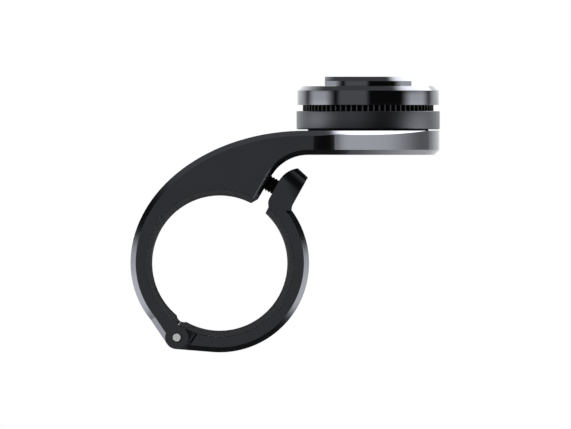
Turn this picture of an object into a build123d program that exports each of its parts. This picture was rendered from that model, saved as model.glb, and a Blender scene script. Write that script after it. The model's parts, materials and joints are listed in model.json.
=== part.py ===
from build123d import *
from math import acos, asin, atan2, cos, degrees, radians, sin, sqrt
import os

# Out-front phone mount: a hinged handlebar clamp, an arm that sweeps forward and inboard,
# and a sprung twist-lock head. Origin: centre of the handlebar bore, halfway along the clamp.
# +X points forward to the head, +Y along the handlebar towards the stem side, +Z up.

# Handlebar clamp
bar_radius = 15.9
liner_thickness = 1.5
ring_radius = 21.04
clamp_width = 15.0
edge_chamfer = 1.2
fit_gap = 0.02

# Hinge
pin_x = -10.15
pin_z = -17.53
knuckle_radius = 2.75
pin_radius = 0.95
pin_countersink = 0.24
pin_depth = 0.6
bush_radius = 1.75
tongue_width = 6.6
slip_washer = 0.3
tongue_room = 3.1
lap_radius = 3.02
shoulder_distance = 3.24
shoulder_chamfer = 0.6
cheek_start = 1.9
cheek_draft = 2.2

# Split of the ring and its two liners, in degrees counterclockwise from +X
upper_liner_inner = (62.4, 234.9)
upper_liner_outer = (59.3, 234.9)
lower_liner_inner = (236.2, 407.6)
lower_liner_outer = (236.2, 408.9)
lap_length = 1.15
lap_width = 6.0
lap_room = 0.2
arm_ring_end = 236.0
arm_waist_angle = 219.5
rib_angle = 144.75
rib_width = 1.8
rib_height = 0.5
jaw_rib_angle = 324.75
liner_bevel = 0.45
scoop_place = (-8.4, -12.2)
scoop_radius = 1.7
jaw_ring_start = 237.1
jaw_ring_end = 409.4
shoulder_angle = -32.8

# Arm seen from the side
arm_top = 31.2
arm_underside = 25.48
crown_centre = 20.0
mouth_angle = 59.1
mouth_high = (12.14, 20.48)
underside_start = 20.8

# Arm seen from above: each bend of the near side has its radius and the heading at its end
near_bend_start = 22.1
near_bends = ((9.6, 31.0), (24.0, 42.0), (94.0, 60.0), (18.7, 90.0))
bevel_bends = ((13.3, 12.0), (10.0, 42.0), (138.0, 60.0))
far_bend_radius = 20.0
far_leave_angle = 165.0
web_radius = 5.0

# Clamp screw, an M4: its axis runs forward and down, square to a line from the bore centre
screw_tilt = 28.6
screw_offset = 22.01
mouth_depth = 0.75
ear_inner = 2.99
ear_seat = 5.1
ear_outer = 8.62
screw_radius = 2.0
thread_pitch = 0.7
thread_depth = 0.38
screw_engagement = 4.0
screw_head_radius = 3.5
screw_head_height = 2.8
counterbore_radius = 3.8
insert_radius = 2.9
insert_bore = 2.13
insert_length = 6.0
ear_hole_radius = 2.3
washer_thickness = 0.5
retainer_radius = 2.95
ear_corner_radius = 4.4
ear_corner_length = 4.0
retainer_start = 3.4
retainer_width = 0.9

# Screw ear of the jaw, seen from the side
ear_heel = (11.38, 13.1)
ear_nose_low = (11.47, 13.36)
ear_nose = (11.39, 14.27)
ear_flat_low = (11.65, 15.22)
ear_flat_high = (13.9, 19.3)
ear_top = (18.40, 22.36)
ear_outer_high = (20.78, 20.18)
ear_outer_low = (17.30, 13.92)
ear_foot = (17.0, 12.2)

# Head
head_x = 34.95
seat_radius = 14.25
base_radius = 16.87
base_bottom = 31.5
base_top = 35.83
hub_radius = 15.4
hub_top = 38.0
tooth_count = 72
tooth_land = 0.26
tooth_depth = 0.5
collar_radius = 16.75
collar_bottom = 37.23
collar_top = 41.7
collar_chamfer = 1.05
rest_inner = 13.15
rest_step = 0.1
skirt_radius = 15.62
web_underside = 39.95
neck_radius = 7.5
flange_bottom = 41.74
flange_bevel = 1.03
flange_radius = 13.0
flange_half_width = 10.2
boss_top = 43.93
collar_bore = 7.56
spigot_radius = 12.0
spigot_bottom = 33.5
key_width = 9.0
key_depth = 1.5
recess_radius = 4.9
recess_floor = 39.9
head_screw_radius = 2.5
head_screw_end = 27.2
head_washer_height = 0.8
head_insert_radius = 4.0
head_insert_length = 4.5
core_radius = 1.25
core_head_radius = 2.25
core_head_height = 1.5
core_circle = 9.0
core_reach = 4.0
guide_radius = 0.8
guide_circle = 8.9
guide_top = 40.15
guide_hole = 1.55
spring_count = 6
spring_circle = 12.4
coil_radius = 1.45
wire_radius = 0.22
pocket_radius = 1.9
pocket_depth = 1.4
plate_inner = 10.6
plate_outer = 14.8
plate_bottom = 39.65
seal_radius = 16.2
seal_bottom = 37.7
seal_height = 0.8

liner_radius = bar_radius + liner_thickness
half_clamp = clamp_width / 2
half_tongue = tongue_width / 2
half_slot = half_tongue + slip_washer + 2 * fit_gap
pin_place = (pin_x, pin_z)

screw_dir = Vector(cos(radians(screw_tilt)), 0, -sin(radians(screw_tilt)))
screw_up = Vector(sin(radians(screw_tilt)), 0, cos(radians(screw_tilt)))


def bend_run(bends):
    """Centre, radius, start heading and turn of each bend, from the clamp's side onwards."""
    point = Vector(near_bend_start, -half_clamp)
    heading = 0
    run = []
    for radius, end_heading in bends:
        centre = point + Vector(-sin(radians(heading)), cos(radians(heading))) * radius
        run.append(((centre.X, centre.Y), radius, heading, end_heading - heading))
        point = centre + Vector(sin(radians(end_heading)), -cos(radians(end_heading))) * radius
        heading = end_heading
    return run


tip_centre, tip_radius = bend_run(near_bends)[-1][:2]
head_y = tip_centre[1]
arm_radius = tip_centre[0] + tip_radius - head_x


def on_side(sketch, half_width):
    """Solid with the given side outline (x, z), centred on the clamp's mid-plane."""
    return extrude(Plane.XZ * sketch, amount=half_width, both=True)


def ring_point(radius, angle):
    return (radius * cos(radians(angle)), radius * sin(radians(angle)))


def sector(inner, outer, inner_span, outer_span):
    """Part of a flat ring; each span is a start and an end angle."""
    near = CenterArc((0, 0), inner, inner_span[0], inner_span[1] - inner_span[0])
    far = CenterArc((0, 0), outer, outer_span[0], outer_span[1] - outer_span[0])
    return make_face([near, far, Line(near @ 0, far @ 0), Line(near @ 1, far @ 1)])


def tube(inner, outer, bottom, top):
    """Upright tube or, with no inner radius, a disc, on the head's axis."""
    solid = Pos(head_x, head_y, (bottom + top) / 2) * Cylinder(outer, top - bottom)
    if inner:
        solid -= Pos(head_x, head_y, (bottom + top) / 2) * Cylinder(inner, top - bottom + 1)
    return solid


def around_head(item, count, radius, first=0.0):
    """Copies of an upright item, evenly spaced round the head's axis."""
    copies = []
    for index in range(count):
        angle = radians(first + 360 * index / count)
        copies.append(Pos(head_x + radius * cos(angle), head_y + radius * sin(angle), 0) * item)
    return copies


def along_screw(radius, start, end, inner=0.0):
    """Cylinder or tube on the clamp screw's axis, between two distances from the bore centre."""
    middle = screw_up * screw_offset + screw_dir * ((start + end) / 2)
    place = Plane(origin=middle, x_dir=(0, 1, 0), z_dir=screw_dir)
    solid = Cylinder(radius, end - start)
    if inner:
        solid -= Cylinder(inner, end - start + 1)
    return place * solid


def screw_plane(distance):
    """Plane square to the clamp screw, with its x axis along the clamp's width."""
    return Plane(origin=screw_up * screw_offset + screw_dir * distance, x_dir=(0, 1, 0), z_dir=screw_dir)


def jaw_hull():
    """Where a line tangent to the ring and the jaw's knuckle touches each, and its angle."""
    reach = sqrt(pin_x ** 2 + pin_z ** 2)
    towards_pin = degrees(acos(pin_x / reach))
    lean = degrees(acos((ring_radius - knuckle_radius) / reach))
    angle = 360 - towards_pin + lean
    across = ring_point(knuckle_radius, angle)
    return angle, ring_point(ring_radius, angle), (pin_x + across[0], pin_z + across[1])


def arm_flank():
    """The arm's flank from its waist on the ring to where it touches the knuckle."""
    waist = ring_point(ring_radius, arm_waist_angle)
    run = Vector(*pin_place) - Vector(*waist)
    heading = degrees(atan2(run.Y, run.X)) - degrees(asin(knuckle_radius / run.length))
    across = ring_point(knuckle_radius, heading - 90)
    return waist, (pin_x + across[0], pin_z + across[1])


arm_waist, arm_knuckle = arm_flank()
jaw_tangent_angle, jaw_tangent, jaw_knuckle = jaw_hull()


def arm_side_outline(end_x):
    """Side outline of the arm's clamp half, out to end_x."""
    inner_end = ring_point(liner_radius, arm_ring_end)
    mouth_foot = ring_point(liner_radius, mouth_angle)
    mouth_arc = TangentArc((underside_start, arm_underside), mouth_high, tangent=(-1, 0))
    edges = [
        CenterArc((0, 0), liner_radius, mouth_angle, arm_ring_end - mouth_angle),
        Line(inner_end, pin_place),
        Line(pin_place, arm_knuckle),
        Line(arm_knuckle, arm_waist),
        CenterArc((0, 0), ring_radius, 180, arm_waist_angle - 180),
        EllipticalCenterArc(
            (crown_centre, 0), crown_centre + ring_radius, arm_top, start_angle=90, arc_size=90
        ),
        Line((crown_centre, arm_top), (end_x, arm_top)),
        Line((end_x, arm_top), (end_x, arm_underside)),
        Line((end_x, arm_underside), (underside_start, arm_underside)),
        mouth_arc,
        Line(mouth_high, mouth_foot),
    ]
    return make_face(edges)


def arm_plan_outline():
    """Outline from above of the flat part of the arm, from the clamp to the head."""
    near_run = bend_run(near_bends)
    inset = -half_clamp + 1.5
    far_x = head_x + arm_radius * cos(radians(far_leave_angle))
    far_y = head_y + arm_radius * sin(radians(far_leave_angle))
    turn = radians(far_leave_angle - 90)
    drop = far_y - half_clamp - far_bend_radius * (1 - cos(turn))
    run = drop / sin(turn)
    low_x = far_x - run * cos(turn)
    low_y = far_y - run * sin(turn)
    end_x = low_x - far_bend_radius * sin(turn)
    edges = [
        Line((end_x, half_clamp), (end_x, inset)),
        Line((end_x, inset), (near_bend_start, inset)),
        Line((near_bend_start, inset), (near_bend_start, -half_clamp)),
        *[CenterArc(centre, radius, start - 90, turn) for centre, radius, start, turn in near_run],
        CenterArc((head_x, head_y), arm_radius, 0, far_leave_angle),
        Line((far_x, far_y), (low_x, low_y)),
        CenterArc((end_x, half_clamp + far_bend_radius), far_bend_radius, -90, far_leave_angle - 90),
    ]
    return make_face(edges)


def chamfer_sides(solid, keep_sharp):
    """Chamfer the edges of the two side faces, apart from those that keep_sharp picks out."""
    sides = [edge for edge in solid.edges() if abs(abs(edge.center().Y) - half_clamp) < 0.01]
    return chamfer([edge for edge in sides if not keep_sharp(edge)], edge_chamfer)


def is_bore_edge(edge):
    return edge.geom_type == GeomType.CIRCLE and abs(edge.radius - liner_radius) < 0.01


def near_hinge(edge):
    """True for the short edges that end at the hinge's axis."""
    ends = [edge @ 0, edge @ 1]
    return any(abs(end.X - pin_x) + abs(end.Z - pin_z) < 0.01 for end in ends)


def clamp_half():
    """The arm's half of the bar clamp, as wide as the clamp, with chamfered sides."""
    half = on_side(arm_side_outline(near_bend_start), half_clamp)
    return chamfer_sides(
        half,
        lambda edge: is_bore_edge(edge) or near_hinge(edge) or abs(edge.center().X - near_bend_start) < 0.01,
    )


def bevel_ring(centre, radius, start, turn):
    """Cutter for a 45 degree bevel on the arm's top edge, round one bend."""
    corner = arm_top - edge_chamfer
    outline = Polyline(
        (radius, corner), (radius + 3, corner - 3), (radius + 3, arm_top + 1),
        (radius - edge_chamfer - 1, arm_top + 1), close=True
    )
    outward = (*ring_point(1, start - 90), 0)
    place = Plane(origin=(*centre, 0), x_dir=outward, z_dir=(*ring_point(1, start - 180), 0))
    return revolve(place * make_face(outline), Axis((*centre, 0), (0, 0, 1)), turn)


def arm_plate():
    """Flat part of the arm that sweeps from the clamp to the head, with a fillet under its root."""
    side = on_side(arm_side_outline(head_x + arm_radius), 80)
    plan = arm_plan_outline()
    plate = extrude(Pos(0, 0, arm_underside) * plan, amount=arm_top - arm_underside)
    rim = [
        edge for edge in plate.edges()
        if abs(edge.center().Z - arm_underside) < 0.01
        and (
            edge.geom_type == GeomType.CIRCLE
            or edge.center().Y > half_clamp
            or edge.center().X > near_bend_start + 1
        )
    ]
    plate = chamfer(rim, edge_chamfer) & side
    for bend in bend_run(bevel_bends):
        plate -= bevel_ring(*bend)
    web = Pos(8, half_clamp + web_radius / 2, arm_underside - web_radius / 2) * Box(60, web_radius, web_radius)
    scoop = Cylinder(web_radius, 80, rotation=(0, 90, 0))
    web -= Pos(8, half_clamp + web_radius, arm_underside - web_radius) * scoop
    web = web & side & extrude(plan, amount=arm_underside)
    return plate, web


def make_arm():
    """Upper clamp half with the hinge ears, the swept plate and the web beside the clamp."""
    plate, web = arm_plate()
    arm = clamp_half() + plate + web
    knuckle = on_side(Pos(*pin_place) * Circle(knuckle_radius), half_clamp)
    arm += knuckle
    arm -= on_side(Pos(*pin_place) * Circle(tongue_room), half_slot)
    arm -= on_side(Circle(liner_radius), half_clamp + 1)
    arm -= on_side(Pos(*pin_place) * Circle(pin_radius), half_clamp + 1)
    for side in (-1, 1):
        sink = Cone(pin_radius, pin_radius + 2 * pin_countersink, 2 * pin_depth)
        arm -= Pos(pin_x, side * half_clamp, pin_z) * Rot(-side * 90, 0, 0) * sink
    arm -= along_screw(insert_radius, mouth_depth - insert_length, mouth_depth + 3)
    arm -= along_screw(insert_bore, mouth_depth - insert_length - 1.5, mouth_depth)
    arm -= tube(0, head_insert_radius, arm_top - head_insert_length, arm_top + 1)
    arm -= on_side(rib_outline(rib_angle), half_clamp + 1)
    return arm


def rib_outline(angle):
    """Locating rib between a liner and its seat."""
    root = liner_radius - rib_height / 2
    return Rot(0, 0, angle) * Pos(root + rib_height * 0.75, 0) * Rectangle(rib_height * 1.5, rib_width)


def make_liner(inner_span, outer_span, rib):
    """Bar liner with bevelled inner edges and a rib that keys it to its seat."""
    liner = on_side(sector(bar_radius, liner_radius, inner_span, outer_span), half_clamp)
    rims = [
        edge for edge in liner.edges().filter_by(GeomType.CIRCLE)
        if abs(edge.radius - bar_radius) < 0.01
    ]
    liner = chamfer(rims, liner_bevel)
    return liner + on_side(rib_outline(rib), half_clamp)


def make_liners():
    """Both liners: a tongue on the upper one laps a slot in the lower one at the hinge."""
    upper = make_liner(upper_liner_inner, upper_liner_outer, rib_angle)
    lower = make_liner(lower_liner_inner, lower_liner_outer, jaw_rib_angle)
    start = upper_liner_inner[1]
    tongue = (start - 0.5, start + lap_length)
    slot = (start - 1, start + lap_length + lower_liner_inner[0] - start)
    upper += on_side(sector(bar_radius + liner_bevel, liner_radius, tongue, tongue), lap_width / 2)
    lower -= on_side(sector(bar_radius - 1, liner_radius + 1, slot, slot), lap_width / 2 + lap_room)
    scoop = on_side(Pos(*scoop_place) * Circle(scoop_radius), half_clamp + 1)
    return upper - scoop, lower - scoop


def make_hinge_washers():
    """A slip washer on each side of the jaw's tongue."""
    ring = Circle(knuckle_radius - 0.15) - Circle(pin_radius + fit_gap)
    washer = extrude(Plane.XZ * (Pos(*pin_place) * ring), amount=slip_washer / 2, both=True)
    offset = half_tongue + slip_washer / 2 + fit_gap
    return [Pos(0, side * offset, 0) * washer for side in (-1, 1)]



def jaw_ring_outline():
    """The jaw's share of the clamp ring, with the flank that runs to the hinge."""
    inner_start = ring_point(liner_radius, jaw_ring_start)
    return make_face([
        CenterArc((0, 0), liner_radius, jaw_ring_start, jaw_ring_end - jaw_ring_start),
        Line(ring_point(liner_radius, jaw_ring_end), ring_point(ring_radius, jaw_ring_end)),
        CenterArc((0, 0), ring_radius, jaw_tangent_angle, jaw_ring_end - jaw_tangent_angle),
        Line(jaw_tangent, jaw_knuckle),
        Line(jaw_knuckle, pin_place),
        Line(pin_place, inner_start),
    ])


def ear_outline():
    """Side outline of the screw ear: its nose at the bar, inner flat, rounded back and outer flat."""
    outer_flat = Vector(*ear_outer_high) - Vector(*ear_outer_low)
    return make_face([
        Line(ear_heel, ear_nose_low),
        ThreePointArc(ear_nose_low, ear_nose, ear_flat_low),
        Line(ear_flat_low, ear_flat_high),
        TangentArc(ear_flat_high, ear_top, tangent=Vector(*ear_flat_high) - Vector(*ear_flat_low)),
        Line(ear_top, ear_outer_high),
        Line(ear_outer_high, ear_outer_low),
        TangentArc(ear_outer_low, ear_foot, tangent=-outer_flat),
        Line(ear_foot, ear_heel),
    ])


def make_ear():
    """Screw ear; each far corner is a round that ends in an edge at the ear's end face."""
    ear = on_side(ear_outline(), half_clamp)
    end_line = Line(ear_top, ear_outer_high)
    middle, along = end_line @ 0.5, end_line % 0.5
    end_plane = Plane(origin=(middle.X, 0, middle.Y), x_dir=(-along.Y, 0, along.X), z_dir=(along.X, 0, along.Y))
    drop = ear_corner_radius - sqrt(ear_corner_radius ** 2 - ear_corner_length ** 2)
    length, height = ear_corner_length + 1, drop + 1
    corner = Pos(1 - length / 2, half_clamp - drop + height / 2) * Rectangle(length, height)
    corner -= Pos(-ear_corner_length, half_clamp - ear_corner_radius) * Circle(ear_corner_radius)
    for cut in (corner, mirror(corner, Plane.XZ)):
        ear -= extrude(end_plane * cut, amount=8, both=True)
    return ear


def make_jaw():
    """Lower clamp half with the hinge tongue, the screw ear and its counterbored hole."""
    ring = on_side(jaw_ring_outline(), half_clamp)
    ring = chamfer_sides(
        ring,
        lambda edge: is_bore_edge(edge) or near_hinge(edge) or edge.center().Z > 10,
    )
    jaw = ring + make_ear()
    jaw += on_side(Pos(*pin_place) * Circle(knuckle_radius), half_tongue)
    foot = ring_point(shoulder_distance - 10, shoulder_angle)
    relief = Pos(pin_x + foot[0], pin_z + foot[1]) * Rot(0, 0, shoulder_angle) * Rectangle(20, 20)
    side_cut = extrude(Plane.XZ * relief, amount=half_clamp + 1, both=True)
    jaw -= side_cut - on_side(Rectangle(200, 200), half_tongue)
    edge_x, edge_z = ring_point(shoulder_distance, shoulder_angle)
    for side in (-1, 1):
        cheek = Pos(pin_x + cheek_start, side * half_tongue, pin_z) * Rot(0, 0, -side * cheek_draft)
        jaw -= (cheek * Pos(10, side * 5, 0) * Box(20, 10, 20)) & side_cut
        edge = Pos(pin_x + edge_x, side * half_clamp, pin_z + edge_z) * Rot(0, -shoulder_angle, 0)
        jaw -= edge * Rot(0, 0, 45) * Box(shoulder_chamfer, shoulder_chamfer, 20)
    lap = Circle(lap_radius) & Pos(0.9, 2) * Rectangle(3, 4)
    jaw += on_side(Pos(*pin_place) * lap, half_tongue)
    jaw -= on_side(Pos(*pin_place) * Circle(bush_radius), half_clamp)
    jaw -= on_side(Circle(liner_radius), half_clamp + 1)
    jaw -= along_screw(ear_hole_radius, ear_inner - 2, ear_seat + 1)
    jaw -= along_screw(retainer_radius, retainer_start, retainer_start + retainer_width)
    jaw -= along_screw(counterbore_radius, ear_seat, ear_outer + 8)
    jaw -= on_side(rib_outline(jaw_rib_angle), half_clamp + 1)
    return jaw



def thread_points(start, end, radius, depth, pitch):
    """Outline of a threaded shank, as rings, from one end to the other."""
    points = []
    count = int((end - start) / pitch)
    for index in range(count):
        low = start + index * pitch
        points += [(radius - depth, low), (radius, low + 0.42 * pitch), (radius, low + 0.58 * pitch)]
    return points


def turned(points):
    """Solid of revolution about Z from (radius, height) points."""
    return revolve(make_face(Plane.XZ * Polyline(*points, close=True)), Axis.Z)


def make_screw(radius, pitch, shank, threaded, head, socket, socket_depth):
    """Socket-head screw pointing down, its head (radius and height) standing on height 0."""
    head_radius, head_height = head
    bevel = 0.1 * head_radius
    points = [(0, -shank)]
    points += thread_points(-shank, threaded - shank, radius, thread_depth * pitch / thread_pitch, pitch)
    points += [
        (radius, threaded - shank), (radius, 0), (head_radius, 0), (head_radius, head_height - bevel),
        (head_radius - bevel, head_height), (0, head_height),
    ]
    screw = turned(points)
    flats = RegularPolygon(socket / sqrt(3), 6)
    return screw - extrude(Pos(0, 0, head_height) * flats, amount=-socket_depth)


def make_clamp_screw():
    shank = ear_seat + washer_thickness - mouth_depth + screw_engagement
    head = (screw_head_radius, screw_head_height)
    screw = make_screw(screw_radius, thread_pitch, shank, shank - 1.2, head, 2.5, 1.7)
    return screw_plane(ear_seat + washer_thickness) * screw



def make_base_ring():
    """Moulded base that holds the hub's spigot, bored from below for the core screws."""
    base = tube(0, base_radius, base_bottom, base_top)
    base = fillet(base.edges().sort_by(Axis.Z)[:1], 0.35)
    base = fillet(base.edges().sort_by(Axis.Z)[-1:], 0.2)
    base -= tube(0, spigot_radius, spigot_bottom, base_top + 1)
    base -= tube(0, head_screw_radius + 0.2, base_bottom - 1, base_top)
    counterbore = Cylinder(core_head_radius + 0.1, 2 * core_head_height + 0.1)
    for hole in around_head(Pos(0, 0, base_bottom) * counterbore, 4, core_circle):
        base -= hole
    for hole in around_head(Pos(0, 0, base_bottom) * Cylinder(core_radius + 0.05, 6), 4, core_circle):
        base -= hole
    return base


def make_tooth_hub():
    """Hub whose rim is a ring of small vee teeth with narrow lands."""
    step = 360 / tooth_count
    half_land = degrees(tooth_land / 2 / hub_radius)
    points = []
    for index in range(tooth_count):
        middle = index * step
        points.append(ring_point(hub_radius, middle - half_land))
        points.append(ring_point(hub_radius, middle + half_land))
        points.append(ring_point(hub_radius - tooth_depth, middle + step / 2))
    rim = make_face(Polyline(*points, close=True))
    hub = extrude(Pos(head_x, head_y, base_top) * rim, amount=hub_top - base_top)
    hub += tube(0, spigot_radius - fit_gap, spigot_bottom, base_top)
    hub -= tube(0, head_screw_radius + 0.2, base_bottom, hub_top + 1)
    hub -= Pos(head_x, head_y, hub_top) * Box(key_width, key_width, 2 * key_depth)
    pocket = Pos(0, 0, hub_top) * Cylinder(pocket_radius, 2 * pocket_depth)
    for hole in around_head(pocket, spring_count, spring_circle):
        hub -= hole
    for hole in around_head(Pos(0, 0, hub_top) * Cylinder(guide_radius, 2 * key_depth), 4, guide_circle, 45):
        hub -= hole
    for hole in around_head(Pos(0, 0, spigot_bottom) * Cylinder(core_radius, 2 * core_reach), 4, core_circle):
        hub -= hole
    return hub


def make_boss():
    """Fixed boss: a neck with a square key below and a flange above, flat on two sides and bevelled between."""
    boss = tube(0, neck_radius, hub_top, boss_top)
    flange = tube(0, flange_radius, flange_bottom, boss_top)
    flange = chamfer(flange.edges().sort_by(Axis.Z)[-1:], flange_bevel)
    boss += flange & Pos(head_x, head_y, boss_top) * Box(2 * flange_half_width, 3 * flange_radius, 9)
    boss += Pos(head_x, head_y, hub_top - key_depth / 2) * Box(key_width - 0.06, key_width - 0.06, key_depth)
    boss -= tube(0, recess_radius, recess_floor, boss_top + 1)
    boss -= tube(0, head_screw_radius + 0.2, base_bottom, boss_top)
    return boss


def make_collar():
    """Sliding collar: a skirt over the hub's teeth and a web round the boss's neck."""
    rim = turned([
        (collar_bore, web_underside), (skirt_radius, web_underside), (skirt_radius, collar_bottom),
        (collar_radius - 0.15, collar_bottom), (collar_radius, collar_bottom + 0.15),
        (collar_radius, collar_top - collar_chamfer), (collar_radius - collar_chamfer, collar_top),
        (rest_inner, collar_top), (rest_inner, collar_top - rest_step), (collar_bore, collar_top - rest_step),
    ])
    collar = Pos(head_x, head_y, 0) * rim
    collar -= tube(skirt_radius - 1, seal_radius, seal_bottom, seal_bottom + seal_height)
    guide = Pos(0, 0, web_underside) * Cylinder(guide_radius + 0.06, 2 * guide_hole)
    for hole in around_head(guide, 4, guide_circle, 45):
        collar -= hole
    return collar


def make_springs():
    """Round-wire coil springs in the hub's pockets, reaching up to the spring plate."""
    floor = hub_top - pocket_depth
    height = plate_bottom - floor - 2 * wire_radius - 2 * fit_gap
    path = Helix(height / 4.5, height, coil_radius)
    start = path @ 0
    spring = sweep(Plane(origin=start, z_dir=path % 0) * Circle(wire_radius), path=path)
    return around_head(Pos(0, 0, floor + wire_radius + fit_gap) * spring, spring_count, spring_circle)


def head_pieces():
    """Small pieces of the head, by node name."""
    core_head = (core_head_radius, core_head_height)
    core = make_screw(core_radius, 0.45, core_reach + 0.3, core_reach, core_head, 1.5, 0.8)
    core = Pos(0, 0, base_bottom + core_head_height) * Rot(180, 0, 0) * core
    guide = Cylinder(guide_radius, guide_top - hub_top + key_depth)
    guide = Pos(0, 0, (guide_top + hub_top - key_depth) / 2) * guide
    washer_top = recess_floor + head_washer_height
    screw = make_screw(head_screw_radius, 0.8, washer_top - head_screw_end, 8, (4.25, 2.6), 4.0, 1.9)
    seal_top = seal_bottom + seal_height - fit_gap
    return {
        "seat_washer": tube(head_screw_radius + 0.2, seat_radius, arm_top, base_bottom),
        "base_ring": make_base_ring(),
        "tooth_hub": make_tooth_hub(),
        "bayonet_boss": make_boss(),
        "lock_collar": make_collar(),
        "collar_seal": tube(hub_radius + 0.08, seal_radius - fit_gap, seal_bottom + fit_gap, seal_top),
        "spring_plate": tube(plate_inner, plate_outer, plate_bottom, web_underside),
        "collar_springs": make_springs(),
        "guide_pins": around_head(guide, 4, guide_circle, 45),
        "core_screws": around_head(core, 4, core_circle),
        "head_screw": Pos(head_x, head_y, washer_top) * screw,
        "head_screw_washer": tube(head_screw_radius + 0.1, 4.4, recess_floor, washer_top),
        "head_insert": tube(head_screw_radius + fit_gap, head_insert_radius, arm_top - head_insert_length, arm_top),
    }


def make_pin():
    """Hinge pin, pressed into the arm's ears."""
    pin = on_side(Pos(*pin_place) * Circle(pin_radius), half_clamp - 0.05)
    return chamfer(pin.edges().filter_by(GeomType.CIRCLE), 0.12)


def side_tube(inner, outer, half_width):
    """Tube on the hinge's axis."""
    return on_side(Pos(*pin_place) * (Circle(outer) - Circle(inner)), half_width)


upper_liner, lower_liner = make_liners()
pieces = {
    "arm": make_arm(),
    "upper_bar_liner": upper_liner,
    "clamp_insert": along_screw(insert_radius, mouth_depth - insert_length, mouth_depth, insert_bore),
    "hinge_pin": make_pin(),
    "hinge_washers": make_hinge_washers(),
    "lower_jaw": make_jaw(),
    "lower_bar_liner": lower_liner,
    "hinge_bush": side_tube(pin_radius + 0.03, bush_radius, half_tongue),
    "screw_retainer": along_screw(
        retainer_radius, retainer_start, retainer_start + retainer_width, screw_radius + 0.06
    ),
    "screw_washer": along_screw(
        screw_head_radius - 0.05, ear_seat + fit_gap, ear_seat + washer_thickness - fit_gap, screw_radius + 0.06
    ),
    "clamp_screw": make_clamp_screw(),
    **head_pieces(),
}

os.makedirs("parts", exist_ok=True)
for name, piece in pieces.items():
    solids = piece if isinstance(piece, list) else piece.solids()
    shape = solids[0] if len(solids) == 1 else Compound(children=[item.solids()[0] for item in solids])
    export_step(shape, f"parts/{name}.step")
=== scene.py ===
import json
from math import cos, pi, radians, sin, tau
import bmesh
import bpy
from mathutils import Matrix, Vector
from mathutils.bvhtree import BVHTree
from mathutils.geometry import barycentric_transform


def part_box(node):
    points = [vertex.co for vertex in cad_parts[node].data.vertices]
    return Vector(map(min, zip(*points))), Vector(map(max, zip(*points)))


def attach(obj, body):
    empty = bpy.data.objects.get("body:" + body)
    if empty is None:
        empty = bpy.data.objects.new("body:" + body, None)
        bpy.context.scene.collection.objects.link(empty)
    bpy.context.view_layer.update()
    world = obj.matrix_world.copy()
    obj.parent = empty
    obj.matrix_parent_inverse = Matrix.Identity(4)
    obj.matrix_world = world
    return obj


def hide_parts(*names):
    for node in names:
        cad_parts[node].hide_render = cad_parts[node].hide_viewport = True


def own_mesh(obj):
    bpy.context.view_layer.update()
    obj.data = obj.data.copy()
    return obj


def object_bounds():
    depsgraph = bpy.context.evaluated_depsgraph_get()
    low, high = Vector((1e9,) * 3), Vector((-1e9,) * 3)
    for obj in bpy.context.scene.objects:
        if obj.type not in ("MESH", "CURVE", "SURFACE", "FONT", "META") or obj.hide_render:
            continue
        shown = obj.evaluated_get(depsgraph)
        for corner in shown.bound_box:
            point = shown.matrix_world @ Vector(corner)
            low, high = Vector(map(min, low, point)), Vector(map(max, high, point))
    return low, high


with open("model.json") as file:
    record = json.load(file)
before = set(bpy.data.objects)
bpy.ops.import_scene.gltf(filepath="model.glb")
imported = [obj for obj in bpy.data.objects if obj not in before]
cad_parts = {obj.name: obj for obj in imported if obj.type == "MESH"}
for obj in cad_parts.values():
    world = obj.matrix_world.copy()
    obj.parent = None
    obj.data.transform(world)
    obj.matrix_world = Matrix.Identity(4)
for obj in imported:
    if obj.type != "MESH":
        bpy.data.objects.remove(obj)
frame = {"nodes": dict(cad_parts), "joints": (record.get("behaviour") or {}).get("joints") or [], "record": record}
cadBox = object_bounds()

mm = 0.001
print("frame loaded:", len(frame["nodes"]), "nodes")

# places read from the frame
headLow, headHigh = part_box("base_ring")
headAxis = Vector(((headLow.x + headHigh.x) / 2, (headLow.y + headHigh.y) / 2, 0))
joints = {joint["name"]: joint for joint in frame["joints"]}
screwAxis = Vector(joints["screw_turn"]["axis"]).normalized()
screwPoint = Vector(joints["screw_turn"]["pos_m"])
hingePoint = Vector(joints["jaw_swing"]["pos_m"])
slotOf = {entry["node"]: entry["material_slot"] for entry in frame["record"]["subparts"]}
bodyOf = {node: body for body, nodes in frame["record"]["behaviour"]["bodies"].items() for node in nodes}


class Wire:  # a node's output, usable in sums
    def __init__(self, graph, socket):
        self.graph = graph
        self.socket = socket

    def work(self, operation, first, second):
        return self.graph.add("ShaderNodeMath", {"operation": operation}, {0: first, 1: second})

    def __add__(self, other):
        return self.work("ADD", self, other)

    def __radd__(self, other):
        return self.work("ADD", other, self)

    def __sub__(self, other):
        return self.work("SUBTRACT", self, other)

    def __rsub__(self, other):
        return self.work("SUBTRACT", other, self)

    def __mul__(self, other):
        return self.work("MULTIPLY", self, other)

    def __rmul__(self, other):
        return self.work("MULTIPLY", other, self)

    def __truediv__(self, other):
        return self.work("DIVIDE", self, other)

    def __rtruediv__(self, other):
        return self.work("DIVIDE", other, self)

    def __mod__(self, other):
        return self.work("FLOORED_MODULO", self, other)

    def __gt__(self, other):
        return self.work("GREATER_THAN", self, other)

    def least(self, other):
        return self.work("MINIMUM", self, other)


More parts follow.
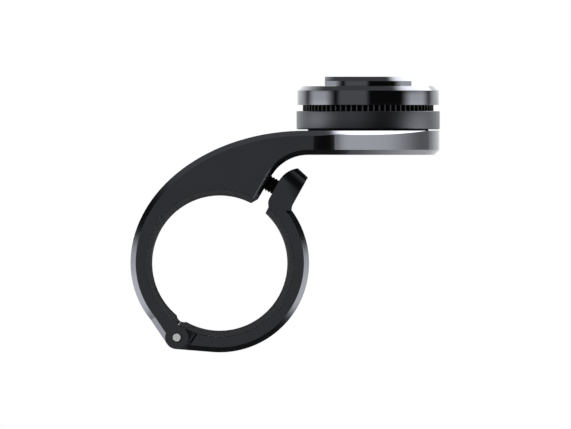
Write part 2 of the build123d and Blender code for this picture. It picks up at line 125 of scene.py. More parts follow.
class Graph:  # any node tree
    def __init__(self, tree):
        self.tree = tree

    def add(self, kind, settings, inputs, out=0):
        node = self.tree.nodes.new(kind)
        for key, value in settings.items():
            if key == "stops":
                self.setStops(node.color_ramp, value)
            else:
                setattr(node, key, value)
        for key, value in inputs.items():
            self.feed(node.inputs[key], value)
        return Wire(self, node.outputs[out])

    def setStops(self, ramp, stops):
        while len(ramp.elements) < len(stops):
            ramp.elements.new(0.5)
        for element, (position, level) in zip(ramp.elements, stops):
            element.position = position
            element.color = (level, level, level, 1)

    def feed(self, socket, value):
        if isinstance(value, Wire):
            self.tree.links.new(value.socket, socket)
        else:
            socket.default_value = value

    def rise(self, value, start, end):  # 0 before start, 1 after end, smooth between
        inputs = {"Value": value, "From Min": start, "From Max": end}
        return self.add("ShaderNodeMapRange", {"interpolation_type": "SMOOTHSTEP"}, inputs)

    def window(self, value, low, high, soft):  # 1 between low and high, with soft ends
        ended = self.rise(value, high - soft, high + soft)
        return self.rise(value, low - soft, low + soft) * (1 - ended)

    def dot(self, first, second):
        inputs = {0: first, 1: second}
        return self.add("ShaderNodeVectorMath", {"operation": "DOT_PRODUCT"}, inputs, "Value")


class Finish(Graph):  # one material
    def __init__(self, name, fixed):
        self.material = bpy.data.materials.new(name)
        self.material.use_nodes = True
        super().__init__(self.material.node_tree)
        self.shader = self.tree.nodes["Principled BSDF"]
        for socketName, value in fixed.items():
            self.shader.inputs[socketName].default_value = value
        self.place = self.add("ShaderNodeTexCoord", {}, {}, "Object")

    def noise(self, size, detail=2.0, roughness=0.5, stretch=None):
        place = self.place
        if stretch:
            place = self.add("ShaderNodeMapping", {}, {"Vector": place, "Scale": stretch})
        inputs = {"Vector": place, "Scale": 1 / size, "Detail": detail, "Roughness": roughness}
        return self.add("ShaderNodeTexNoise", {}, inputs)

    def specks(self, size, reach):
        inputs = {"Vector": self.place, "Scale": 1 / size}
        cells = self.add("ShaderNodeTexVoronoi", {}, inputs, "Distance")
        return self.add("ShaderNodeValToRGB", {"stops": [(0.0, 1.0), (reach, 0.0)]}, {0: cells})

    def radius(self, centre):  # distance from an upright axis
        offset = (-centre.x, -centre.y, 0)
        moved = self.add("ShaderNodeVectorMath", {"operation": "ADD"}, {0: self.place, 1: offset})
        flat = self.add("ShaderNodeVectorMath", {"operation": "MULTIPLY"}, {0: moved, 1: (1, 1, 0)})
        return self.add("ShaderNodeVectorMath", {"operation": "LENGTH"}, {0: flat}, "Value")

    def edges(self, width, gain):  # 1 on corners, 0 on flats
        soft = self.add("ShaderNodeBevel", {"samples": 4}, {"Radius": width})
        true = self.add("ShaderNodeNewGeometry", {}, {}, "Normal")
        return ((1 - self.dot(soft, true)) * gain).least(1.0)

    def blend(self, mask, low, high):
        return self.add("ShaderNodeMix", {"data_type": "RGBA"}, {"Factor": mask, 6: low, 7: high}, 2)

    def bump(self, height, depth):
        inputs = {"Height": height, "Distance": depth, "Strength": 1.0}
        self.feed(self.shader.inputs["Normal"], self.add("ShaderNodeBump", {}, inputs))

    def drive(self, **sockets):
        for socketName, value in sockets.items():
            self.feed(self.shader.inputs[socketName.replace("_", " ")], value)


def grey(level, tint=(1.0, 1.0, 1.0)):
    return (level * tint[0], level * tint[1], level * tint[2], 1)


coolTint = (0.96, 0.985, 1.1)

satinBlack = {
    "dark": 0.185, "light": 0.215, "wornAndHighlit": 0.3, "roughness": 0.19, "grain": 0.14 * mm, "cloud": 11 * mm,
    "depth": 0.0012 * mm,
}
brightBlack = {
    "dark": 0.175, "light": 0.19, "wornAndHighlit": 0.26, "roughness": 0.09, "grain": 0.09 * mm, "cloud": 14 * mm,
    "depth": 0.0005 * mm, "turned": 0.13 * mm,
}
blastedBlack = {
    "dark": 0.15, "light": 0.165, "wornAndHighlit": 0.2, "roughness": 0.44, "grain": 0.12 * mm, "cloud": 8 * mm,
    "depth": 0.004 * mm,
}
dyedSkin = {"edge": 0.1 * mm, "edgeGain": 1.6, "patch": 0.9 * mm, "sheenVaries": 0.03}


def makeAnodised(name, look):  # dyed aluminium: even colour, painted a little paler on the corners, partly for wear and partly as a painted highlight along the edges
    finish = Finish(name, {"Metallic": 1.0, "IOR": 1.5})
    skin = dyedSkin
    cloud = finish.noise(look["cloud"], 3.0)
    grain = finish.noise(look["grain"], 2.0, 0.6)
    # painted highlight: the corner mask paints the edges paler, partly wear and partly the bright edge lines that
    # light would catch
    wearAndEdgeHighlight = finish.edges(skin["edge"], skin["edgeGain"]) * finish.noise(skin["patch"], 3.0)
    base = finish.blend(cloud, grey(look["dark"], coolTint), grey(look["light"], coolTint))
    height = grain
    if "turned" in look:  # fine lathe lines round the head's axis
        lines = finish.radius(headAxis) * (tau / look["turned"])
        height = grain * 0.5 + finish.add("ShaderNodeMath", {"operation": "SINE"}, {0: lines}) * 0.5
    finish.bump(height, look["depth"])
    finish.drive(
        Base_Color=finish.blend(wearAndEdgeHighlight, base, grey(look["wornAndHighlit"], coolTint)),
        Roughness=look["roughness"] - skin["sheenVaries"] + (cloud + grain) * skin["sheenVaries"],
    )
    return finish.material


resin = {
    "dark": 0.036, "light": 0.044, "scuff": 0.055, "tint": (0.96, 0.985, 1.1), "roughness": 0.5,
    "grain": 0.16 * mm, "depth": 0.008 * mm,
}
rubber = {
    "dark": 0.012, "light": 0.02, "scuff": 0.03, "tint": (1.0, 1.0, 1.0), "roughness": 0.62,
    "grain": 0.09 * mm, "depth": 0.01 * mm,
}
acetal = {
    "dark": 0.6, "light": 0.68, "scuff": 0.72, "tint": (1.0, 0.98, 0.93), "roughness": 0.36,
    "grain": 0.3 * mm, "depth": 0.004 * mm,
}
mouldedSkin = {
    "cloud": 6 * mm, "edge": 0.1 * mm, "edgeGain": 2.0, "patch": 0.7 * mm, "pit": 0.35 * mm,
    "pitReach": 0.28, "pitDepth": 0.35, "sheenVaries": 0.1,
}


def makeMoulded(name, look):
    finish = Finish(name, {"Specular IOR Level": 0.5})
    skin, tint = mouldedSkin, look["tint"]
    grain = finish.noise(look["grain"], 3.0, 0.65)
    cloud = finish.noise(skin["cloud"], 4.0)
    pits = finish.specks(skin["pit"], skin["pitReach"])
    base = finish.blend(cloud, grey(look["dark"], tint), grey(look["light"], tint))
    wearAndEdgeHighlight = finish.edges(skin["edge"], skin["edgeGain"]) * finish.noise(skin["patch"], 2.0)
    finish.bump(grain - pits * skin["pitDepth"], look["depth"])
    finish.drive(
        Base_Color=finish.blend(wearAndEdgeHighlight, base, grey(look["scuff"], tint)),
        Roughness=look["roughness"] - skin["sheenVaries"] / 2 + grain * skin["sheenVaries"],
    )
    return finish.material


# groove is the colour of the painted shade in the grooves, land the nylon's own grey
hubLook = {
    "groove": 0.002, "land": 0.11, "crest": 15.385 * mm, "crestRamp": 0.05 * mm, "roughness": 0.5,
    "rough": 0.75, "grain": 0.1 * mm, "depth": 0.005 * mm, "sheenVaries": 0.06,
}


def makeHubNylon(name, look):  # the grooves are painted nearly black as painted shade between the teeth; the crests keep the nylon's grey and are smoother
    finish = Finish(name, {"Specular IOR Level": 0.1})
    # painted shade: below the crests the colour falls to nearly black, standing in for the shade down in the
    # grooves
    crest = finish.rise(finish.radius(headAxis), look["crest"] - look["crestRamp"], look["crest"])
    grain = finish.noise(look["grain"], 3.0, 0.6)
    finish.bump(grain, look["depth"])
    finish.drive(
        Base_Color=finish.blend(crest, grey(look["groove"]), grey(look["land"], coolTint)),
        Roughness=look["rough"] - crest * (look["rough"] - look["roughness"]) + grain * look["sheenVaries"],
    )
    return finish.material


steel = {"dark": 0.74, "light": 0.8, "tint": (0.99, 1.0, 1.02), "roughness": 0.45, "metallic": 0.2}
oxide = {"dark": 0.03, "light": 0.05, "tint": (1.05, 1.0, 0.8), "roughness": 0.34, "metallic": 0.8}
bronze = {"dark": 0.4, "light": 0.55, "tint": (1.0, 0.7, 0.36), "roughness": 0.35, "metallic": 1.0}
metalSkin = {
    "cloud": 1.5 * mm, "line": 0.25 * mm, "lineStretch": (1, 8, 1), "depth": 0.002 * mm, "edge": 0.08 * mm,
    "edgeGain": 2.5, "wearAndEdgeHighlight": 0.6, "wornGain": 1.5, "palest": 0.8, "sheenVaries": 0.12,
}


def makeMetal(name, look):
    finish = Finish(name, {"Metallic": look["metallic"]})
    skin, tint = metalSkin, look["tint"]
    cloud = finish.noise(skin["cloud"], 4.0)
    lines = finish.noise(skin["line"], 2.0, 0.5, skin["lineStretch"])
    wearAndEdgeHighlight = finish.edges(skin["edge"], skin["edgeGain"]) * skin["wearAndEdgeHighlight"]
    wornAndHighlit = min(look["light"] * skin["wornGain"], skin["palest"])
    base = finish.blend(cloud, grey(look["dark"], tint), grey(look["light"], tint))
    finish.bump(lines, skin["depth"])
    finish.drive(
        Base_Color=finish.blend(wearAndEdgeHighlight, base, grey(wornAndHighlit, tint)),
        Roughness=look["roughness"] - skin["sheenVaries"] / 2 + cloud * skin["sheenVaries"],
    )
    return finish.material


finishes = {
    "anodised_aluminium": makeAnodised("satinBlackAnodised", satinBlack),
    "collar_gloss": makeAnodised("brightBlackAnodised", brightBlack),
    "blasted_aluminium": makeAnodised("blastedBlackAnodised", blastedBlack),
    "hub_nylon": makeHubNylon("hubNylon", hubLook),
    "liner_resin": makeMoulded("linerResin", resin),
    "seal_rubber": makeMoulded("sealRubber", rubber),
    "acetal": makeMoulded("naturalAcetal", acetal),
    "steel": makeMetal("turnedSteel", steel),
    "black_steel": makeMetal("blackOxideSteel", oxide),
    "bronze": makeMetal("sinteredBronze", bronze),
}
for nodeName, node in frame["nodes"].items():
    node.data.materials.clear()
    node.data.materials.append(finishes[slotOf[nodeName]])
print("finishes made:", len(finishes))


def place(pieceName, mesh, nodeName):  # a finished piece, riding where its CAD node did
    piece = bpy.data.objects.new(pieceName, mesh)
    bpy.context.scene.collection.objects.link(piece)
    mesh.materials.clear()
    mesh.materials.append(finishes[slotOf[nodeName]])
    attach(piece, bodyOf[nodeName])
    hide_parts(nodeName)
    print("piece made:", pieceName, len(mesh.polygons), "faces")
    return piece


def plainMesh(piece):  # the evaluated shape of a working object, which is then removed
    depsgraph = bpy.context.evaluated_depsgraph_get()
    mesh = bpy.data.meshes.new_from_object(piece.evaluated_get(depsgraph))
    bpy.data.objects.remove(piece)
    return mesh


# machined pieces: the CAD shape with its sharp edges broken

# the arm's edges nearer to the hinge than "clear" stay sharp, where the ear runs into the flank
edgeBreaks = {
    "arm": {"name": "armBody", "width": 0.1 * mm, "segments": 2, "clear": 8.5 * mm},
    "lower_jaw": {"name": "lowerJaw", "width": 0.1 * mm, "segments": 2, "clear": 0},
    "upper_bar_liner": {"name": "upperBarLiner", "width": 0.08 * mm, "segments": 1, "clear": 0},
    "lower_bar_liner": {"name": "lowerBarLiner", "width": 0.08 * mm, "segments": 1, "clear": 0},
    "bayonet_boss": {"name": "twistLockBoss", "width": 0.08 * mm, "segments": 2, "clear": 0},
}
sharpest = radians(28)  # two faces that turn by more than this meet in a sharp edge
mending = {"weld": 0.0005 * mm, "flat": radians(0.2), "near": 0.0015 * mm, "planar": 0.99999}


def takeNormals(mesh, source):  # the original faces keep their exact curvature
    source.calc_loop_triangles()
    points = [vertex.co.copy() for vertex in source.vertices]
    normals = [corner.vector.copy() for corner in source.corner_normals]
    triangles = [(tuple(item.vertices), tuple(item.loops)) for item in source.loop_triangles]
    surface = BVHTree.FromPolygons(points, [corners for corners, loops in triangles])
    taken = []
    for face in mesh.polygons:
        for index in face.vertices:
            spot = mesh.vertices[index].co
            reach = surface.find_nearest(spot)[3] + mending["near"]
            hits = surface.find_nearest_range(spot, reach)
            best = max(hits, key=lambda hit: hit[1].dot(face.normal))
            corners, loops = triangles[best[2]]
            known = [normals[loop] for loop in loops]
            if min(known[0].dot(known[1]), known[1].dot(known[2])) > mending["planar"]:
                taken.append(known[0])
            else:
                blended = barycentric_transform(best[0], *[points[corner] for corner in corners], *known)
                taken.append(blended.normalized())
    mesh.normals_split_custom_set(taken)


def machine(nodeName, look):
    source = frame["nodes"][nodeName].data
    shell = bmesh.new()
    shell.from_mesh(source)
    bmesh.ops.remove_doubles(shell, verts=shell.verts, dist=mending["weld"])
    bmesh.ops.dissolve_limit(shell, angle_limit=mending["flat"], verts=shell.verts, edges=shell.edges)
    rough = bpy.data.meshes.new("rough")
    marks = shell.edges.layers.float.new("bevel_weight_edge")
    for edge in shell.edges:
        middle = (edge.verts[0].co + edge.verts[1].co) / 2 - hingePoint
        clear = Vector((middle.x, middle.z)).length > look["clear"]
        edge[marks] = float(clear and edge.calc_face_angle(0) > sharpest)
    shell.to_mesh(rough)
    shell.free()
    work = bpy.data.objects.new("work", rough)
    bpy.context.scene.collection.objects.link(work)
    bevel = work.modifiers.new("edgeBreak", "BEVEL")
    bevel.limit_method = "WEIGHT"
    bevel.width = look["width"]
    bevel.segments = look["segments"]
    bevel.use_clamp_overlap = False
    mesh = plainMesh(work)
    mesh.shade_smooth()
    takeNormals(mesh, source)
    place(look["name"], mesh, nodeName)


for nodeName, look in edgeBreaks.items():
    machine(nodeName, look)


# turned pieces: rings of points, joined from one end to the other

def ringPoints(kind, radius, height, steps):
    points = []
    for step in range(steps):
        turn = tau * step / steps
        reach = radius
        if kind == "hexagon":  # radius is half the width across flats
            reach = radius / cos((turn + pi / 6) % (pi / 3) - pi / 6)
        points.append((reach * cos(turn), reach * sin(turn), height))
    return points


def turnMesh(rings, steps, at):  # rings of (kind, radius, height); a radius of 0 closes the end
    shell = bmesh.new()
    loops = []
    for kind, radius, height in rings:
        if radius == 0:
            loops.append([shell.verts.new(at @ Vector((0, 0, height)))])
        else:
            points = ringPoints(kind, radius, height, steps)
            loops.append([shell.verts.new(at @ Vector(point)) for point in points])
    if rings[0][1]:
        loops.append(loops[0])  # a bored piece closes on its first ring
    for low, high in zip(loops, loops[1:]):
        for step in range(steps):
            after = (step + 1) % steps
            corners = [low[step % len(low)], low[after % len(low)]]
            corners += [high[after % len(high)], high[step % len(high)]]
            shell.faces.new(list(dict.fromkeys(corners)))  # a closed end gives triangles
    bmesh.ops.recalc_face_normals(shell, faces=shell.faces)
    mesh = bpy.data.meshes.new("turned")
    shell.to_mesh(mesh)
    shell.free()
    mesh.shade_smooth()
    mesh.set_sharp_from_angle(angle=sharpest)
    return mesh


def circles(*pairs):
    return [("circle", radius, height) for radius, height in pairs]


def roundCorner(radius, height, size, upward, steps=4):  # quarter-round, from a flat end to the wall
    turns = [pi / 2 * step / steps for step in range(steps + 1)]
    run = [(radius - size * (1 - sin(turn)), height - upward * size * (1 - cos(turn))) for turn in turns]
    return circles(*run)


onHead = Matrix.Translation(headAxis)

collar = {
    "bore": 7.56 * mm, "web": 39.95 * mm, "skirt": 15.62 * mm, "bottom": 37.23 * mm,
    "radius": 16.75 * mm, "top": 41.7 * mm, "chamfer": 1.05 * mm, "break": 0.1 * mm, "slope": 0.06 * mm,
    "groove": 16.2 * mm, "grooveLow": 37.7 * mm, "grooveHigh": 38.5 * mm, "restInner": 13.15 * mm,
    "restStep": 0.1 * mm, "steps": 240,
}


def makeCollar(look):
    edge, slope, side = look["break"], look["slope"], look["radius"]
    top, inner = look["top"], look["radius"] - look["chamfer"]
    shoulder, rest = top - look["chamfer"], top - look["restStep"]
    rings = circles(
        (look["bore"], look["web"]), (look["skirt"], look["web"]), (look["skirt"], look["grooveHigh"]),
        (look["groove"], look["grooveHigh"]), (look["groove"], look["grooveLow"]),
        (look["skirt"], look["grooveLow"]), (look["skirt"], look["bottom"]),
    )
    rings += roundCorner(side, look["bottom"], edge, -1)
    rings += circles(
        (side, shoulder - slope), (side - slope * 0.3, shoulder + slope * 0.3),
        (inner + slope * 0.3, top - slope * 0.3), (inner - slope, top),
        (look["restInner"], top), (look["restInner"], rest),
        (look["bore"] + edge, rest), (look["bore"], rest - edge),
    )
    place("lockCollar", turnMesh(rings, look["steps"], onHead), "lock_collar")


makeCollar(collar)

base = {
    "radius": 16.87 * mm, "bottom": 31.5 * mm, "top": 35.83 * mm, "low": 0.35 * mm, "high": 0.2 * mm,
    "spigot": 12.0 * mm, "floor": 33.5 * mm, "bore": 2.7 * mm, "steps": 240,
}


def makeBase(look):
    rings = circles((look["bore"], look["bottom"]))
    rings += roundCorner(look["radius"], look["bottom"], look["low"], -1)
    rings += roundCorner(look["radius"], look["top"], look["high"], 1)[::-1]
    rings += circles(
        (look["spigot"], look["top"]), (look["spigot"], look["floor"]), (look["bore"], look["floor"])
    )
    place("headBase", turnMesh(rings, look["steps"], onHead), "base_ring")


makeBase(base)

washer = {
    "radius": 14.25 * mm, "bore": 2.7 * mm, "bottom": 31.2 * mm, "top": 31.5 * mm, "bulge": 0.08 * mm,
    "steps": 120,
}


def makeSeatWasher(look):
    low, high = look["bottom"], look["top"]
    bore, flat = look["bore"], look["radius"] - look["bulge"]
    rings = circles((bore, low), (flat, low), (look["radius"], (low + high) / 2), (flat, high), (bore, high))
    place("seatWasher", turnMesh(rings, look["steps"], onHead), "seat_washer")


makeSeatWasher(washer)

headScrew = {
    "radius": 2.5 * mm, "head": 4.25 * mm, "seat": 40.7 * mm, "height": 2.6 * mm, "end": 27.2 * mm,
    "point": 0.4 * mm, "socket": 2.0 * mm, "socketDepth": 1.9 * mm, "corner": 0.35 * mm, "steps": 96,
}
socketCut = {"break": 0.1 * mm, "mouth": 1.25, "lead": 1.02, "leadDepth": 0.12 * mm, "drillTip": 0.25 * mm}


def socketHead(look, bottom):  # a cap head with a hexagon socket, from its seat to the socket's floor
    top, cut = bottom + look["height"], socketCut
    foot = top - look["socketDepth"]
    rings = circles((look["head"] - cut["break"], bottom), (look["head"], bottom + cut["break"]))
    rings += roundCorner(look["head"], top, look["corner"], 1)[::-1]
    rings += circles((look["socket"] * cut["mouth"], top))
    rings.append(("hexagon", look["socket"] * cut["lead"], top - cut["leadDepth"]))
    rings.append(("hexagon", look["socket"], foot))
    rings += circles((0, foot - cut["drillTip"]))
    return rings


def makeHeadScrew(look):
    radius, end, point = look["radius"], look["end"], look["point"]
    rings = circles((0, end), (radius - point, end), (radius, end + point), (radius, look["seat"]))
    rings += socketHead(look, look["seat"])
    place("headScrew", turnMesh(rings, look["steps"], onHead), "head_screw")


makeHeadScrew(headScrew)

pin = {"radius": 0.95 * mm, "chamfer": 0.1 * mm, "dimple": 0.5 * mm, "dimpleDepth": 0.02 * mm, "steps": 48}


def makePin(look):
    low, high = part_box("hinge_pin")
    middle = Vector(((low.x + high.x) / 2, 0, (low.z + high.z) / 2))
    half = (high.y - low.y) / 2
    along = Matrix.Translation(middle) @ Matrix.Rotation(pi / 2, 4, "X")
    radius, chamfer = look["radius"], look["chamfer"]
    rings = []
    for end in (-1, 1):
        run = circles(
            (0, end * (half - look["dimpleDepth"])), (look["dimple"], end * half),
            (radius - chamfer, end * half), (radius, end * (half - chamfer)),
        )
        rings += run if end < 0 else run[::-1]
    place("hingePin", turnMesh(rings, look["steps"], along), "hinge_pin")


makePin(pin)


creased = radians(32)  # the node trees' pieces keep an edge sharp above this angle


class Maker(Graph):  # a Geometry Nodes tree with named sizes
    def __init__(self, name, sizes):
        super().__init__(bpy.data.node_groups.new(name, "GeometryNodeTree"))
        self.values = {}
        for sizeName, value in sizes.items():
            kind = "NodeSocketInt" if isinstance(value, int) else "NodeSocketFloat"
            socket = self.tree.interface.new_socket(sizeName, in_out="INPUT", socket_type=kind)
            self.values[socket.identifier] = value
        self.tree.interface.new_socket("Geometry", in_out="OUTPUT", socket_type="NodeSocketGeometry")
        self.group = self.tree.nodes.new("NodeGroupInput")

    def size(self, sizeName):
        return Wire(self, self.group.outputs[sizeName])

    def vector(self, x=0.0, y=0.0, z=0.0):
        return self.add("ShaderNodeCombineXYZ", {}, {0: x, 1: y, 2: z})

    def join(self, *shapes):
        node = self.tree.nodes.new("GeometryNodeJoinGeometry")
        for shape in reversed(shapes):
            self.tree.links.new(shape.socket, node.inputs[0])
        return Wire(self, node.outputs[0])

    def move(self, shape, offset):
        return self.add("GeometryNodeTransform", {}, {"Geometry": shape, "Translation": offset})

    def rod(self, radius, length, sides):
        inputs = {"Vertices": sides, "Radius": radius, "Depth": length}
        return self.add("GeometryNodeMeshCylinder", {"fill_type": "NGON"}, inputs)

    def helix(self, stepsPerTurn, turns, radius, height):
        return self.add("GeometryNodeCurveSpiral", {}, {
            "Resolution": stepsPerTurn, "Rotations": turns, "Start Radius": radius, "End Radius": radius,
            "Height": height,
        })

    def sweep(self, path, section):
        inputs = {"Curve": path, "Profile Curve": section, "Fill Caps": True}
        return self.add("GeometryNodeCurveToMesh", {}, inputs)

    def around(self, shape, count, radius):  # copies on a circle, each turned to face outwards
        circle = self.add("GeometryNodeMeshCircle", {}, {"Vertices": count, "Radius": radius})
        turn = self.add("GeometryNodeInputIndex", {}, {}) * tau / count
        inputs = {"Points": circle, "Instance": shape, "Rotation": self.vector(z=turn)}
        return self.add("GeometryNodeInstanceOnPoints", {}, inputs)

    def finish(self, shape, material, at):
        whole = self.add("GeometryNodeRealizeInstances", {}, {0: shape})
        dressed = self.add("GeometryNodeSetMaterial", {}, {"Geometry": whole, "Material": material})
        end = self.tree.nodes.new("NodeGroupOutput")
        self.tree.links.new(dressed.socket, end.inputs[0])
        work = bpy.data.objects.new("work", bpy.data.meshes.new("work"))
        bpy.context.scene.collection.objects.link(work)
        modifier = work.modifiers.new("maker", "NODES")
        modifier.node_group = self.tree
        for identifier, value in self.values.items():
            modifier[identifier] = value
        mesh = plainMesh(work)
        mesh.transform(at)
        mesh.shade_smooth()
        mesh.set_sharp_from_angle(angle=creased)
        return mesh


teeth = {"Teeth": 72, "Crest Radius": 15.4 * mm, "Depth": 0.5 * mm, "Land": 0.26 * mm, "Height": 2.17 * mm}
hub = {"bottom": 35.83 * mm, "spigotBottom": 33.5 * mm, "spigotRadius": 11.98 * mm, "spigotSides": 96}


# each tooth has three outline points: two on its crest and one in the groove beside it
def makeToothHub(sizes, look):
    maker = Maker("toothedRim", sizes)
    count, radius = maker.size("Teeth"), maker.size("Crest Radius")
    index = maker.add("GeometryNodeInputIndex", {}, {})
    part = index % 3.0
    groove = part > 1.5
    step = tau / count
    number = (index - part) / 3.0
    lean = (part * 2.0 - 1.0) * (maker.size("Land") / 2.0 / radius)
    angle = (number + groove * 0.5) * step + lean * (1.0 - groove)
    reach = radius - groove * maker.size("Depth")
    across = maker.add("ShaderNodeMath", {"operation": "COSINE"}, {0: angle}) * reach
    along = maker.add("ShaderNodeMath", {"operation": "SINE"}, {0: angle}) * reach
    inputs = {"Vertices": count * 3.0, "Radius": radius}
    outline = maker.add("GeometryNodeMeshCircle", {"fill_type": "NGON"}, inputs)
    inputs = {"Geometry": outline, "Position": maker.vector(across, along)}
    shaped = maker.add("GeometryNodeSetPosition", {}, inputs)
    rim = maker.add(
        "GeometryNodeExtrudeMesh", {"mode": "FACES"},
        {"Mesh": shaped, "Offset": maker.vector(z=maker.size("Height")), "Individual": False},
    )
    floor = maker.add("GeometryNodeFlipFaces", {}, {0: shaped})
    reachDown = look["bottom"] - look["spigotBottom"]
    spigot = maker.rod(look["spigotRadius"], reachDown, look["spigotSides"])
    low = maker.move(spigot, (0, 0, -reachDown / 2))
    at = onHead @ Matrix.Translation((0, 0, look["bottom"]))
    mesh = maker.finish(maker.join(rim, floor, low), finishes[slotOf["tooth_hub"]], at)
    place("toothHub", mesh, "tooth_hub")


makeToothHub(teeth, hub)

coil = {
    "Coils": 6, "Circle": 12.4 * mm, "Coil Radius": 1.45 * mm, "Wire Radius": 0.22 * mm, "Turns": 4.5,
    "Height": 2.57 * mm,
}
springs = {"floor": 36.6 * mm, "lift": 0.24 * mm, "keep": 0.45, "stepsPerTurn": 28, "wireSides": 8}


def makeSprings(sizes, look):
    maker = Maker("coilSprings", sizes)
    turns, radius, height = maker.size("Turns"), maker.size("Coil Radius"), maker.size("Height")
    inputs = {"Resolution": look["wireSides"], "Radius": maker.size("Wire Radius")}
    section = maker.add("GeometryNodeCurvePrimitiveCircle", {}, inputs)
    wire = maker.sweep(maker.helix(look["stepsPerTurn"], turns, radius, height), section)
    ring = maker.around(wire, maker.size("Coils"), maker.size("Circle"))
    at = onHead @ Matrix.Translation((0, 0, look["floor"] + look["lift"]))
    mesh = maker.finish(ring, finishes[slotOf["collar_springs"]], at)
    piece = place("collarSprings", mesh, "collar_springs")
    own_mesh(piece)


makeSprings(coil, springs)

guides = {"Pins": 4, "Circle": 8.9 * mm, "Radius": 0.8 * mm, "Length": 3.65 * mm, "Chamfer": 0.15 * mm}
guidePlace = {"top": 40.15 * mm, "turned": pi / 4, "sides": 32}


def makeGuidePins(sizes, look):
    maker = Maker("guidePins", sizes)
    radius, length, chamfer = maker.size("Radius"), maker.size("Length"), maker.size("Chamfer")
    shank = maker.rod(radius, length - chamfer * 2.0, look["sides"])
    nose = maker.add("GeometryNodeMeshCone", {"fill_type": "NGON"}, {
        "Vertices": look["sides"], "Radius Bottom": radius, "Radius Top": radius - chamfer,
        "Depth": chamfer,
    })
    tip = maker.move(nose, maker.vector(z=length / 2.0 - chamfer))
    tail = maker.add("GeometryNodeTransform", {}, {"Geometry": tip, "Rotation": (pi, 0, 0)})
    ring = maker.around(maker.join(shank, tip, tail), maker.size("Pins"), maker.size("Circle"))
    middle = Matrix.Translation((0, 0, look["top"] - sizes["Length"] / 2))
    at = onHead @ middle @ Matrix.Rotation(look["turned"], 4, "Z")
    place("guidePins", maker.finish(ring, finishes[slotOf["guide_pins"]], at), "guide_pins")


makeGuidePins(guides, guidePlace)

clampThread = {"Radius": 2.0 * mm, "Pitch": 0.7 * mm, "Depth": 0.4 * mm, "Turns": 11.0}
clampScrew = {
    "shank": 8.85 * mm, "plain": 1.0 * mm, "threadLift": 0.15 * mm, "seatAlong": 5.6 * mm, "head": 3.5 * mm,
    "height": 2.8 * mm, "socket": 1.25 * mm, "socketDepth": 1.7 * mm, "corner": 0.35 * mm, "steps": 72,
    "stepsPerTurn": 36, "ridgeFoot": 0.92, "ridgeSink": 0.95, "coreSides": 48,
}


def alongScrew(distance):  # on the clamp screw's axis, that far from the bore's centre, with Z to the head
    foot = screwPoint - screwAxis * screwPoint.dot(screwAxis)
    turned = screwAxis.to_track_quat("Z", "Y").to_matrix().to_4x4()
    return Matrix.Translation(foot + screwAxis * distance) @ turned


def makeClampScrew(sizes, look):
    maker = Maker("screwThread", sizes)
    turns, pitch, depth = maker.size("Turns"), maker.size("Pitch"), maker.size("Depth")
    root, run = maker.size("Radius") - depth, turns * pitch
    helix = maker.helix(look["stepsPerTurn"], turns, root, run)
    ridge = maker.add("GeometryNodeCurvePrimitiveQuadrilateral", {"mode": "KITE"}, {
        "Width": pitch * look["ridgeFoot"], "Bottom Height": depth, "Top Height": depth * look["ridgeSink"],
    })
    upright = maker.add("GeometryNodeSetCurveNormal", {"mode": "Z_UP"}, {0: helix})
    thread = maker.sweep(upright, ridge)
    core = maker.move(maker.rod(root, run, look["coreSides"]), maker.vector(z=run / 2.0))
    at = alongScrew(look["seatAlong"] - look["shank"] + look["threadLift"])
    threadMesh = maker.finish(maker.join(thread, core), finishes[slotOf["clamp_screw"]], at)
    rings = circles((0, -look["plain"]), (sizes["Radius"], -look["plain"]), (sizes["Radius"], 0))
    rings += socketHead(look, 0)
    whole = bmesh.new()
    whole.from_mesh(threadMesh)
    whole.from_mesh(turnMesh(rings, look["steps"], alongScrew(look["seatAlong"])))
    mesh = bpy.data.meshes.new("clampScrew")
    whole.to_mesh(mesh)
    whole.free()
    place("clampScrew", mesh, "clamp_screw")


makeClampScrew(clampThread, clampScrew)

# camera: level, square on to the clamp's side
view = {"centreX": 15.48 * mm, "centreZ": 11.45 * mm, "width": 134.5 * mm, "distance": 0.6}
camera = bpy.data.objects.new("camera", bpy.data.cameras.new("camera"))
camera.data.type = "ORTHO"
camera.data.ortho_scale = view["width"]
camera.data.clip_start = 0.01
camera.location = (view["centreX"], -view["distance"], view["centreZ"])
camera.rotation_euler = (pi / 2, 0, 0)
bpy.context.scene.collection.objects.link(camera)
bpy.context.scene.camera = camera

# the floor lies low enough for the jaw to swing fully open above it
floorLook = {"size": 3.0, "colour": (0.8, 0.8, 0.8, 1), "roughness": 0.7, "paleness": 0.75, "drop": 40 * mm}


def makeFloor(look):  # the camera sees it paler than its light makes it, and its shadows stay
    half = look["size"] / 2
    height = cadBox[0].z - look["drop"]
    mesh = bpy.data.meshes.new("floor")
    corners = [(-half, -half), (half, -half), (half, half), (-half, half)]
    mesh.from_pydata([(x, y, height) for x, y in corners], [], [(0, 1, 2, 3)])
    finish = Finish("paleFloor", {"Base Color": look["colour"], "Roughness": look["roughness"]})
    seen = finish.add("ShaderNodeLightPath", {}, {}, "Is Camera Ray")
    lit = Wire(finish, finish.shader.outputs[0])
    pale = finish.add("ShaderNodeEmission", {}, {"Strength": 1.0})
    shown = finish.add("ShaderNodeMixShader", {}, {0: seen * look["paleness"], 1: lit, 2: pale})
    finish.feed(finish.tree.nodes["Material Output"].inputs["Surface"], shown)
    mesh.materials.append(finish.material)
    floor = bpy.data.objects.new("floor", mesh)
    bpy.context.scene.collection.objects.link(floor)
    floor.visible_glossy = False


makeFloor(floorLook)

# azimuth 0 is the camera's side and grows towards +X; level is the panel's brightness
lamps = {
    "frontFill": {"azimuth": -12, "elevation": 24, "distance": 1.1, "size": (0.9, 0.7), "level": 1.6},
    "rearFill": {"azimuth": 165, "elevation": 30, "distance": 1.2, "size": (0.9, 0.7), "level": 1.2},
}


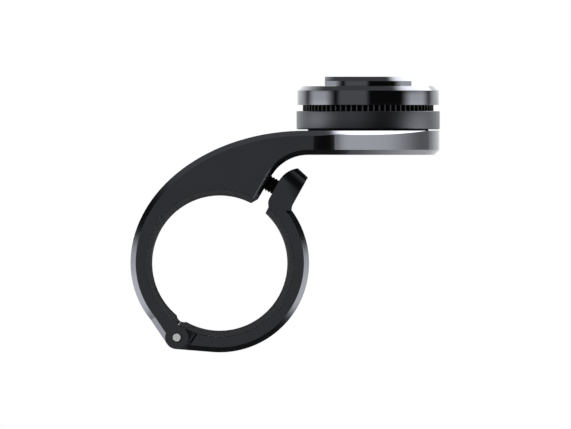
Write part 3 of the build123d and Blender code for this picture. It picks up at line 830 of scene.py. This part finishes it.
def addLamp(name, look):  # lights the matt pieces; the metal mirrors the room instead
    light = bpy.data.lights.new(name, "AREA")
    light.shape = "RECTANGLE"
    light.size, light.size_y = look["size"]
    light.energy = look["level"] * pi * look["size"][0] * look["size"][1]
    lamp = bpy.data.objects.new(name, light)
    turn, lift = radians(look["azimuth"]), radians(look["elevation"])
    away = Vector((sin(turn) * cos(lift), -cos(turn) * cos(lift), sin(lift)))
    lamp.location = Vector((view["centreX"], 0, view["centreZ"])) + away * look["distance"]
    lamp.rotation_euler = away.to_track_quat("Z", "Y").to_euler()
    lamp.visible_camera = False
    lamp.visible_glossy = False
    bpy.context.scene.collection.objects.link(lamp)


for name, look in lamps.items():
    addLamp(name, look)

# the studio that the metal mirrors: panels by azimuth and elevation in degrees
panels = {
    "rightBox": {"azimuth": (66, 108), "elevation": (-34, 9.5), "softness": (12, 7), "level": 1.6},
    "rightSkirt": {"azimuth": (70, 112), "elevation": (-33, -5), "softness": (8, 6), "level": 0.3},
    "leftBox": {"azimuth": (-108, -66), "elevation": (-37, 12), "softness": (12, 7), "level": 1.55},
    "leftSkirt": {"azimuth": (-112, -70), "elevation": (-36, -5), "softness": (8, 6), "level": 0.5},
    "frontCard": {"azimuth": (-50, -1), "elevation": (-38, 38), "softness": (5, 10), "level": 0.32},
}
# dim all round, with soft glows from below, from above, from behind and from high behind, and one spot
studio = {
    "dim": 0.014, "under": 0.02, "underFrom": (0.05, 0.4), "overhead": 0.2, "overheadFrom": (0.55, 0.8),
    "back": 1.15, "backFrom": (0.37, 0.72), "lift": 0.5, "liftFrom": (0.66, 0.8), "liftAbove": (-0.1, 0.3),
    "spotAt": (0.5, 0.5, 0.707), "spotLevel": 4.6, "spotSize": (28, 8),
}


def makeRoom(look, boards):
    world = bpy.data.worlds.new("studio")
    bpy.context.scene.world = world
    world.use_nodes = True
    room = Graph(world.node_tree)
    way = room.add("ShaderNodeTexCoord", {}, {}, "Generated")
    parts = room.tree.nodes.new("ShaderNodeSeparateXYZ")
    room.feed(parts.inputs[0], way)
    x, y, z = (Wire(room, socket) for socket in parts.outputs)
    azimuth = room.add("ShaderNodeMath", {"operation": "ARCTAN2"}, {0: x, 1: 0 - y}) * (180 / pi)
    elevation = room.add("ShaderNodeMath", {"operation": "ARCSINE"}, {0: z}) * (180 / pi)
    back = room.rise(y, *look["backFrom"])
    lift = room.rise(y, *look["liftFrom"]) * room.rise(z, *look["liftAbove"])
    light = look["dim"] + room.rise(z, *look["overheadFrom"]) * look["overhead"]
    light = light + room.rise(0 - z, *look["underFrom"]) * look["under"]
    light = light + back * look["back"] + lift * look["lift"]
    for board in boards.values():
        across = room.window(azimuth, *board["azimuth"], board["softness"][0])
        upward = room.window(elevation, *board["elevation"], board["softness"][1])
        light = light + across * upward * board["level"]
    towards = Vector(look["spotAt"]).normalized()
    start, end = (cos(radians(angle)) for angle in look["spotSize"])
    light = light + room.rise(room.dot(way, towards), start, end) * look["spotLevel"]
    seen = room.add("ShaderNodeLightPath", {}, {}, "Is Camera Ray")
    room.feed(room.tree.nodes["Background"].inputs["Strength"], light * (1 - seen) + seen)
    room.feed(room.tree.nodes["Background"].inputs["Color"], (1, 1, 1, 1))


makeRoom(studio, panels)
bpy.context.scene.view_settings.view_transform = "Standard"
print("stage and lights set")
